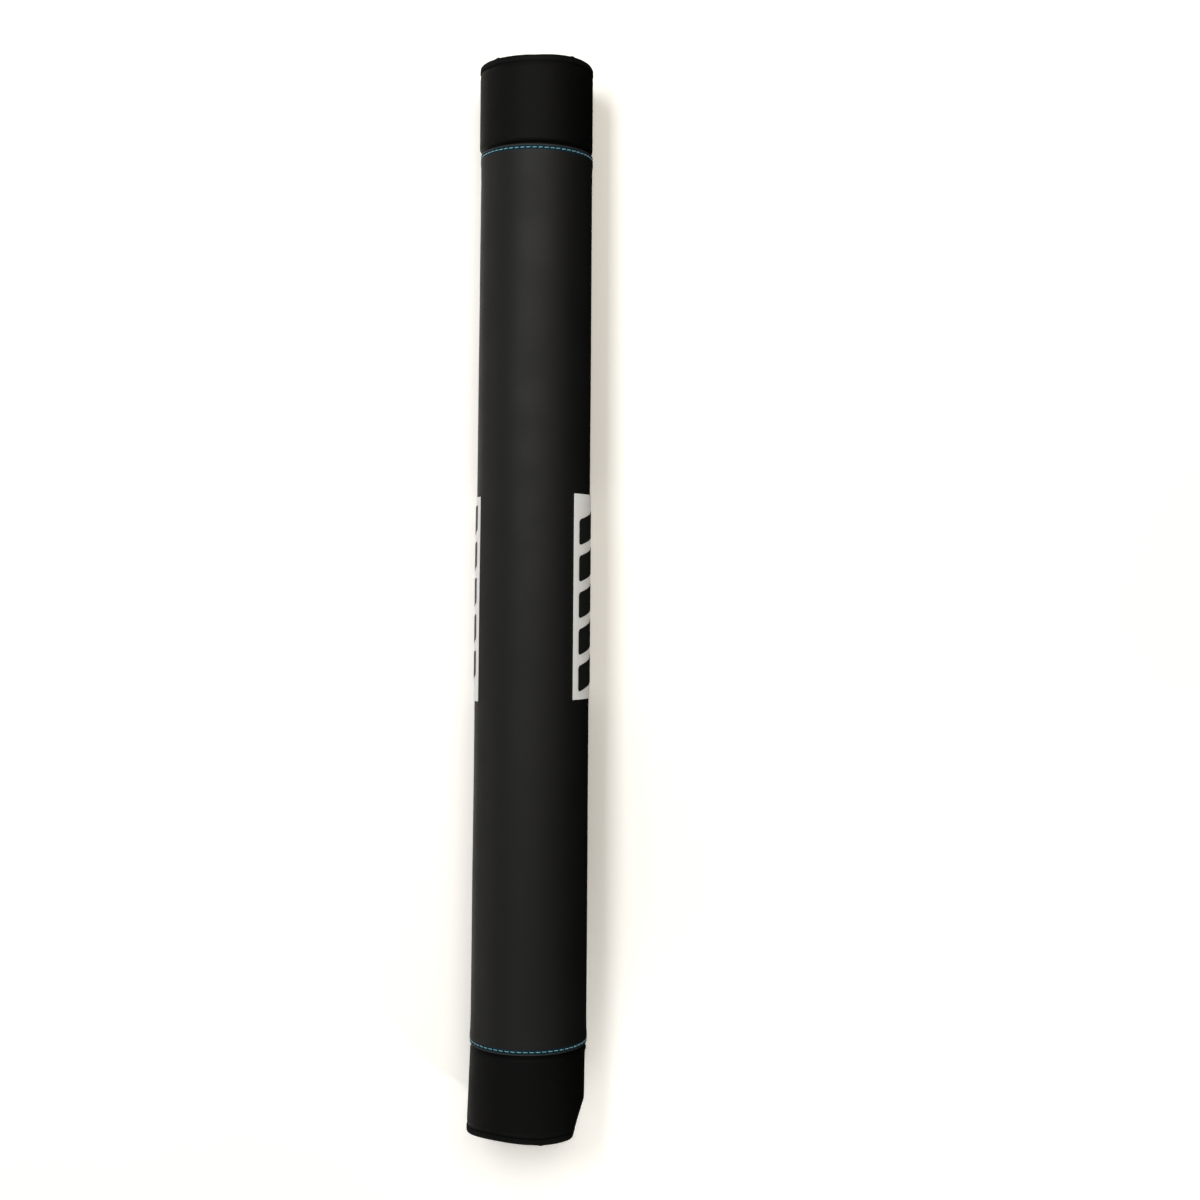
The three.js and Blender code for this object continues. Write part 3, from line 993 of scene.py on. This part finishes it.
# %% The foam tube
foam_outside = cover_thickness + clearance
slit_face = slit_width / 2 + lining_thickness + clearance
bore_radius = radius - foam_outside - foam_thickness
foam_start = slit_angle - full_turn
foam_round = 1.2 * MM
foam_round_steps = 4
foam_row = 24 * MM
foam_turn = 0.05
foam_columns = spaced(foam_start + 2 * foam_turn, slit_angle - 2 * foam_turn, foam_turn)
foam_columns = [foam_start] + foam_columns + [slit_angle]


def foam_at_slit(side, depth, inset, inner):
    """A corner of the foam at one face of the slit: on its bore or on its outside."""
    if inner:
        return beside_slit(math.sqrt(bore_radius**2 - side**2) + inset, side)
    return beside_slit(slit_reach(side, depth) - inset, side)


def foam_place(angle, row, side):
    y, inset = row
    if angle == foam_start:
        return grown_point(foam_at_slit(-slit_face, foam_outside, inset, side), y)
    if angle == slit_angle:
        return grown_point(foam_at_slit(slit_face, foam_outside + cover_drop, inset, side), y)
    if side:
        reach = bore_radius + inset
        return grown_point((reach * math.sin(angle), axis_height + reach * math.cos(angle)), y)
    return skin_point(angle, y, foam_outside + cover_drop * under_flap(angle) + inset)


foam_rows = []
for k in range(foam_round_steps):
    turn = math.pi / 2 * k / foam_round_steps
    foam_rows.append((core_half - foam_round * (1 - math.cos(turn)), foam_round * (1 - math.sin(turn))))
foam_rows += [(y, 0) for y in spaced(core_half - foam_round, 0, foam_row)]
foam_rows = [(-y, inset) for y, inset in foam_rows[:-1]] + foam_rows[::-1]
foam_mesh = cloth_wall(foam_columns, foam_rows, [y for y, _ in foam_rows], foam_place)
foam_tube = finish_piece("foam_tube", foam_mesh, foam_finish, "foam_core")

# %% [markdown]
# ## Lining
# A thin woven lining saves the foam from the bar. It is one strip that comes in along one face of the
# slit, goes round the bore and comes out along the other face, so its flat grid runs across the pad along
# that path.

# %% Woven lining's finish
lining_pitch = 1 * MM
lining_dark = (0.01, 0.01, 0.011)
lining_light = (0.022, 0.022, 0.024)
lining_finish, tree, shader = start_finish("woven_lining", lining_dark, 0.8, Sheen_Weight=0.15)
flat = add_node(tree, "UVMap", uv_map="flat").outputs["UV"]
weave = weave_height(tree, flat, lining_pitch)
add_bump(tree, shader, weave, 0.5, 0.15 * MM)
tree.links.new(tinted(tree, weave, lining_dark, lining_light), shader.inputs["Base Color"])
print("the lining has a thread every", lining_pitch / MM, "mm")

# %% The lining
lining_outer = radius - cover_thickness - foam_thickness - 2 * clearance
lining_inner_side = slit_width / 2
lining_outer_side = lining_inner_side + lining_thickness
leg_depth = cover_thickness + clearance
leg_step = 2.5 * MM
lining_turn = 0.08
lining_row = 12 * MM


def lining_line(reach, side):
    """Across the pad, X and Z: down the slit's high face, round the bore and out along its low face."""
    leg_end = math.sqrt(reach**2 - side**2)
    edge = math.asin(side / reach)
    high_end = slit_reach(-side, leg_depth)
    low_end = slit_reach(side, leg_depth + cover_drop)
    high = [beside_slit(out, -side) for out in spaced(high_end, leg_end, leg_step)]
    low = [beside_slit(out, side) for out in spaced(leg_end, low_end, leg_step)]
    around = []
    for angle in spaced(slit_angle - full_turn + edge, slit_angle - edge, lining_turn)[1:-1]:
        around.append((reach * math.sin(angle), axis_height + reach * math.cos(angle)))
    return high, around, low


def matched(line, counts):
    """The same line with a set number of points in each of its three stretches."""
    points = []
    for stretch, count in zip(line, counts):
        for k in range(count):
            place = k * (len(stretch) - 1) / (count - 1)
            low = min(int(place), len(stretch) - 2)
            points.append(Vector(stretch[low]).lerp(Vector(stretch[low + 1]), place - low))
    return points


lining_counts = (9, 60, 7)
lining_lines = (
    matched(lining_line(lining_outer, lining_outer_side), lining_counts),
    matched(lining_line(lining_outer - lining_thickness, lining_inner_side), lining_counts),
)
lining_stations = [0]
for before, after in zip(lining_lines[1], lining_lines[1][1:]):
    lining_stations.append(lining_stations[-1] + (after - before).length / radius)
station_index = {station: k for k, station in enumerate(lining_stations)}


def lining_place(station, y, side):
    return grown_point(lining_lines[side][station_index[station]], y)


lining_rows = spaced(-core_half, core_half, lining_row)
lining_mesh = cloth_wall(lining_stations, lining_rows, lining_rows, lining_place)
lining = finish_piece("woven_bore_lining", lining_mesh, lining_finish, "bore_lining")

# %% [markdown]
# ## Hook and loop tapes
# The closure is a strip of hook tape on the flap and a strip of loop tape under it, each as long as the
# foam, and each cuff closes with a short hook tape on its own brushed face. They are flat strips wrapped
# at the flap's own angles. Hooks and loops are far too small and too many to model, so they are bump on
# the cloth's flat map.


# %% Tape finishes
def tape_finish(name, colour, scale, stretch):
    finish, tree, shader = start_finish(name, colour, 0.8, Sheen_Weight=0.2)
    flat = add_node(tree, "UVMap", uv_map="flat")
    laid = add_node(tree, "Mapping", {"Vector": flat.outputs["UV"], "Scale": (stretch, 1, 1)})
    tufts = add_node(tree, "TexVoronoi", {"Vector": laid.outputs[0], "Scale": scale}, feature="F1")
    depths = tufts.outputs["Distance"]
    add_bump(tree, shader, depths, 0.8, 0.4 * MM)
    darker = tuple(0.5 * channel for channel in colour)
    tree.links.new(tinted(tree, depths, colour, darker), shader.inputs["Base Color"])
    print(name, "is bump, with", scale, "tufts to the metre")
    return finish


hook_finish = tape_finish("hook_tape_black", (0.010, 0.010, 0.011), 900, 1)
loop_finish = tape_finish("loop_tape_black", (0.012, 0.012, 0.013), 500, 0.6)

# %% The closure's two tapes
tape_end_margin = 1.5 * MM
tape_turn = 0.05
closure_tape_row = 12 * MM
half_tape = tape_width / 2 / radius
tape_edges = (closure_angle - full_turn - half_tape, closure_angle - full_turn + half_tape)
tape_columns = spaced(tape_edges[0] + edge_ease / radius, tape_edges[1] - edge_ease / radius, tape_turn)
tape_columns = [tape_edges[0]] + tape_columns + [tape_edges[1]]


def tape_rows(start, end, depth, step):
    return [((y, depth), (y, depth + tape_thickness)) for y in spaced(start, end, step)]


def closure_tape_place(angle, row, side):
    y, depth = row[side]
    return skin_point(angle, y, eased(depth, side, angle, tape_edges))


tape_reach = core_half - tape_end_margin
for layer, (word, finish) in enumerate((("hook", hook_finish), ("loop", loop_finish))):
    depth = cover_thickness + clearance + layer * (tape_thickness + clearance)
    rows = tape_rows(-tape_reach, tape_reach, depth, closure_tape_row)
    tape_mesh = cloth_wall(tape_columns, rows, flat_lengths(rows), closure_tape_place)
    name = f"closure_{word}_strip"
    tape = finish_piece(name, tape_mesh, finish, f"closure_{word}_tape")

# %% The cuffs' tapes
cuff_tape_margin = 5 * MM
cuff_tape_row = 3 * MM
cuff_tape_from = rise_y + cuff_tape_margin
cuff_tape_to = binding_y - cuff_tape_margin
for word, end in (("near", -1), ("far", 1)):
    rows = tape_rows(cuff_tape_from, cuff_tape_to, cuff_thickness + clearance, cuff_tape_row)
    tape_mesh = cloth_wall(tape_columns, rows, flat_lengths(rows), cuff_layer_place(end, tape_edges))
    name = f"{word}_cuff_hook_strip"
    tape = finish_piece(name, tape_mesh, hook_finish, f"{word}_cuff_hook_tape")

# %% [markdown]
# ## Closure stitches
# The flap's edge and the hook tape behind it are sewn down with two rows of black stitches that run the
# whole length. They are small, but they are what shows of the closure from the side, so each stitch is
# modelled.

# %% Two rows of stitches beside the flap's edge
black_thread = thread_finish("black_thread", (0.01, 0.01, 0.0105), 0.6, 0.2)
closure_pitch = 3.6 * MM
closure_rings = 6
closure_thread_radius = 0.28 * MM
closure_thread_sides = 6
closure_arch_depth = 0.05 * MM
closure_end_margin = 2 * MM
row_places = (1.6 * MM, 5.2 * MM)
closure_half = core_half - closure_end_margin
closure_count = round(2 * closure_half / closure_pitch)
closure_stations = []
for k in range(closure_count * closure_rings + 1):
    y = -closure_half + 2 * closure_half * k / (closure_count * closure_rings)
    closure_stations.append((y, (k / closure_rings) % 1))


def closure_stitch_place(from_edge):
    def place(station, turn):
        y, phase = station
        arch = smooth(clamp(min(phase, 1 - phase) / arch_share))
        angle = outer_edge + (from_edge + closure_thread_radius * math.cos(turn)) / radius
        depth = mix(cover_thickness, closure_arch_depth, arch) - closure_thread_radius * math.sin(turn)
        return skin_point(angle, y, depth - cover_lift(angle, y))

    return place


for k, from_edge in enumerate(row_places):
    tube = thread_tube(closure_stations, closure_thread_sides, closure_stitch_place(from_edge))
    finish_piece(f"closure_stitch_row_{k + 1}", tube, black_thread)

# %% [markdown]
# ## Labels
# Each side has a white film label, pressed on with heat, so it follows every wave of the cover and only
# its edge stands proud. It is a wall wrapped like the cloth and placed on the cover's own skin. The right
# label sits a little nearer the far end. The print is plain: five leaning bars of black film.

# %% Film finishes
def film_finish(name, low, high, roughness, coat):
    """Smooth printed film, faintly dimpled by the cloth behind it and a little uneven in its gloss."""
    finish, tree, shader = start_finish(name, high, roughness, Coat_Weight=coat)
    where = add_node(tree, "TexCoord").outputs["Object"]
    peel = add_node(tree, "TexNoise", {"Vector": where, "Scale": 900, "Detail": 2}).outputs["Fac"]
    add_bump(tree, shader, peel, 0.15, 0.05 * MM)
    gloss = ramp(tree, peel, 0.3, 0.7, roughness - 0.04, roughness + 0.04)
    tree.links.new(gloss, shader.inputs["Roughness"])
    tint = add_node(tree, "TexNoise", {"Vector": where, "Scale": 60, "Detail": 3}).outputs["Fac"]
    tree.links.new(tinted(tree, tint, low, high), shader.inputs["Base Color"])
    return finish


label_film = film_finish("white_film", (0.9, 0.9, 0.885), (0.94, 0.94, 0.93), 0.45, 0.1)
print_film = film_finish("black_film", (0.004, 0.0045, 0.004), (0.006, 0.006, 0.006), 0.6, 0)
print("two films, white and black")

# %% The labels
label_length = 136 * MM
label_height = 58 * MM
label_spacing = 74.6 * MM
label_middles = {-1: 0, 1: 2.3 * MM}
label_thickness = 0.4 * MM
film_clearance = 0.1 * MM
film_crease = math.radians(35)
film_turn = 0.04
label_row = 4 * MM


def label_angles(side, margin):
    """The angles that a label or its print covers. side is 1 towards +X and -1 for the other label."""
    close = (label_spacing / 2 + margin) / radius
    far_off = (label_spacing / 2 + label_height - margin) / radius
    return sorted((-roll_angle + side * close, -roll_angle + side * far_off))


def film_place(angle, row, side):
    y, depth = row[side]
    return cover_point(angle, y, depth)


def film_rows(start, end, top, thickness, step):
    return [((y, top), (y, top + thickness)) for y in spaced(start, end, step)]


for word, side in (("left", -1), ("right", 1)):
    angles = label_angles(side, 0)
    top = -film_clearance - label_thickness
    middle = label_middles[side]
    rows = film_rows(middle - label_length / 2, middle + label_length / 2, top, label_thickness, label_row)
    film = cloth_wall(spaced(*angles, film_turn), rows, flat_lengths(rows), film_place)
    label = finish_piece(f"{word}_label_film", film, label_film, f"{word}_label", film_crease)

# %% The bars printed on the labels
print_margin = 5 * MM
print_thickness = 0.2 * MM
bar_count = 5
bar_width = 17 * MM
bar_slant = 12 * MM
bar_corner = 2 * MM
bar_steps = 10
corner_steps = 6


def corner_cut(from_end):
    """How far a bar's rounded corner draws its side in, at a distance from the bar's end."""
    inside = clamp(bar_corner - from_end, 0, bar_corner)
    return bar_corner - math.sqrt(bar_corner**2 - inside**2)


def bar_place(side, index):
    start, end = label_angles(side, print_margin)
    reach = label_length / 2 - print_margin
    low_y = label_middles[side] - reach + (2 * reach - bar_width - bar_slant) * index / (bar_count - 1)
    top = -label_thickness - 2 * film_clearance - print_thickness

    def place(angle, share, side_of_film):
        from_end = min(angle - start, end - angle) * radius
        cut = corner_cut(from_end)
        y = low_y + cut + (bar_width - 2 * cut) * share + bar_slant * way(start, end, angle)
        return cover_point(angle, y, top + print_thickness * side_of_film)

    return place


bar_shares = spaced(0, 1, 1 / bar_steps)
bar_flat = [bar_width * share for share in bar_shares]
for word, side in (("left", -1), ("right", 1)):
    start, end = label_angles(side, print_margin)
    corner_turn = bar_corner / radius
    bar_columns = spaced(start, start + corner_turn, corner_turn / corner_steps)[:-1]
    bar_columns += spaced(start + corner_turn, end - corner_turn, film_turn)
    bar_columns += spaced(end - corner_turn, end, corner_turn / corner_steps)[1:]
    for k in range(bar_count):
        film = cloth_wall(bar_columns, bar_shares, bar_flat, bar_place(side, k))
        name = f"{word}_label_print_{k + 1}"
        finish_piece(name, film, print_film, f"{word}_label_bar_{k + 1}", film_crease)

# %% Sizes of the model and of what is dressed
visual_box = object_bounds()
for cad_corner, visual_corner in zip(cad_box, visual_box):
    moved = [round((after - before) / MM, 2) for before, after in zip(cad_corner, visual_corner)]
    print("corner moved, in millimetres:", moved)
